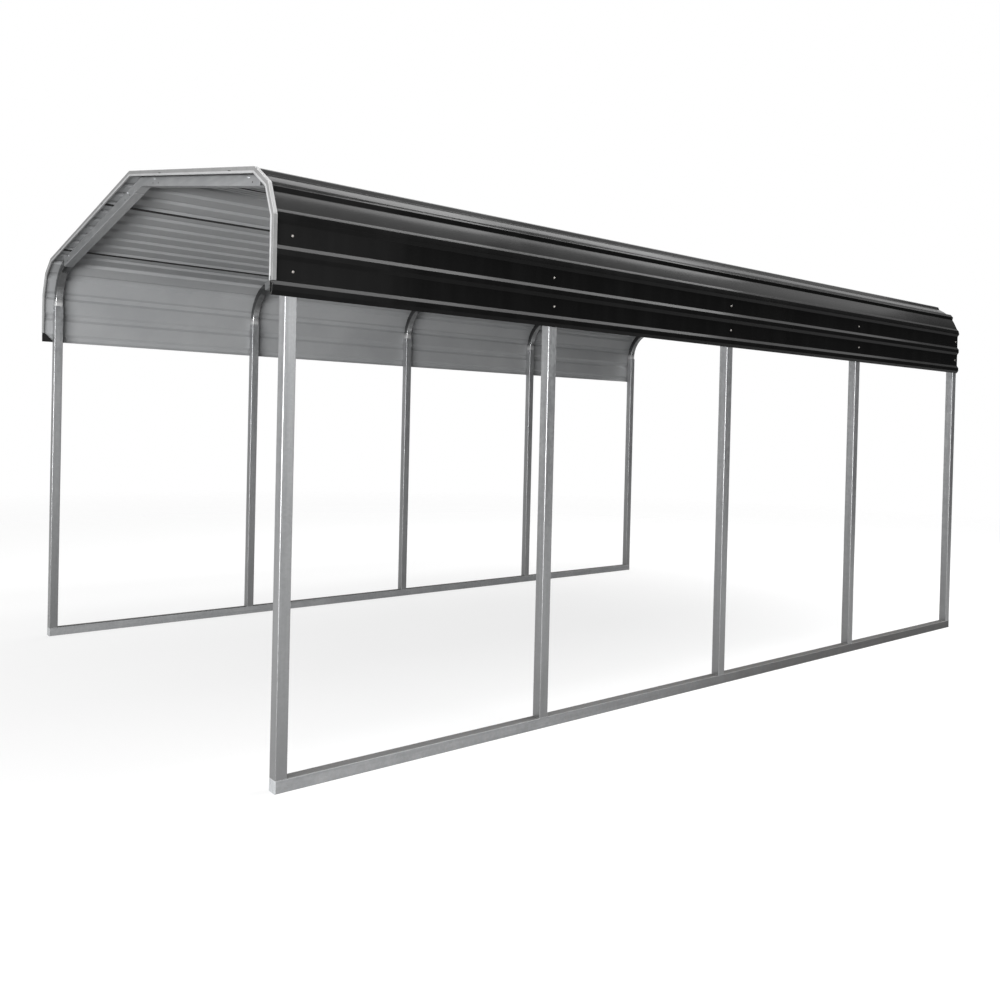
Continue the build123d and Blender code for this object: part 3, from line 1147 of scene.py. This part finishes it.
def pale_floor():
    """Floor that keeps the shadow near the object and fades into the white around it."""
    mesh = bpy.data.meshes.new("floor")
    half = FLOOR_HALF
    corners = [(-half, -half, 0.0), (half, -half, 0.0), (half, half, 0.0), (-half, half, 0.0)]
    mesh.from_pydata(corners, [], [(0, 1, 2, 3)])
    floor = bpy.data.objects.new("floor", mesh)
    bpy.context.scene.collection.objects.link(floor)
    material, tree, shader = new_shader("floor_pale")
    seen = seen_directly(tree)
    tone = mixed(tree, seen, grey(FLOOR_BOUNCE), grey(FLOOR_SEEN))
    feed(tree, shader, Base_Color=tone, Roughness=FLOOR_ROUGH, Specular_IOR_Level=0.0)
    glow = node(tree, "ShaderNodeEmission", {"Color": grey(WHITE)}).outputs[0]
    lit = blended(tree, math_node(tree, "MULTIPLY", seen, FLOOR_GLOW), shader.outputs[0], glow)
    reach = vector_node(tree, "LENGTH", object_place(tree))["Value"]
    clear = node(tree, "ShaderNodeBsdfTransparent").outputs[0]
    whole = blended(tree, swept(tree, reach, FLOOR_FADE), lit, clear)
    tree.links.new(whole, tree.nodes["Material Output"].inputs["Surface"])
    mesh.materials.append(material)


def area_light(name, place, target, size, power):
    lamp = bpy.data.lights.new(name, "AREA")
    lamp.shape = "RECTANGLE"
    lamp.size, lamp.size_y = size
    lamp.energy = power
    holder = bpy.data.objects.new(name, lamp)
    bpy.context.scene.collection.objects.link(holder)
    holder.location = place
    holder.rotation_euler = (Vector(target) - Vector(place)).to_track_quat("-Z", "Y").to_euler()


def studio_lights():
    for strip in STRIPS:
        width = strip.across[1] - strip.across[0]
        length = strip.along[1] - strip.along[0]
        x = sum(strip.across) / 2.0
        y = sum(strip.along) / 2.0
        power = strip.radiance * math.pi * width * length
        area_light(strip.name, (x, y, STRIP_HEIGHT), (x, y, 0.0), (width, length), power)
    for box in BOXES:
        area_light(*box)


def photo_camera():
    ahead = Vector((-math.sin(CAMERA_YAW), math.cos(CAMERA_YAW), 0.0))
    right = Vector((math.cos(CAMERA_YAW), math.sin(CAMERA_YAW), 0.0))
    up = Vector((0.0, 0.0, 1.0))
    aim = ahead * math.cos(CAMERA_PITCH) + up * math.sin(CAMERA_PITCH)
    tilted = up * math.cos(CAMERA_PITCH) - ahead * math.sin(CAMERA_PITCH)
    side = right * math.cos(CAMERA_ROLL) + tilted * math.sin(CAMERA_ROLL)
    top = tilted * math.cos(CAMERA_ROLL) - right * math.sin(CAMERA_ROLL)
    data = bpy.data.cameras.new("camera")
    data.lens = CAMERA_LENS
    data.shift_y = CAMERA_SHIFT_Y
    camera = bpy.data.objects.new("camera", data)
    bpy.context.scene.collection.objects.link(camera)
    turn = Matrix((side, top, -aim)).transposed().to_4x4()
    camera.matrix_world = Matrix.Translation(CAMERA_PLACE) @ turn
    bpy.context.scene.camera = camera


finish_frame()
roof_sheets()
gable_trims()
bow_bends()
roof_screws()
frame_fasteners()
corner_guards()
lap_strips()
studio_world()
pale_floor()
studio_lights()
photo_camera()
bpy.context.scene.view_settings.view_transform = "Standard"
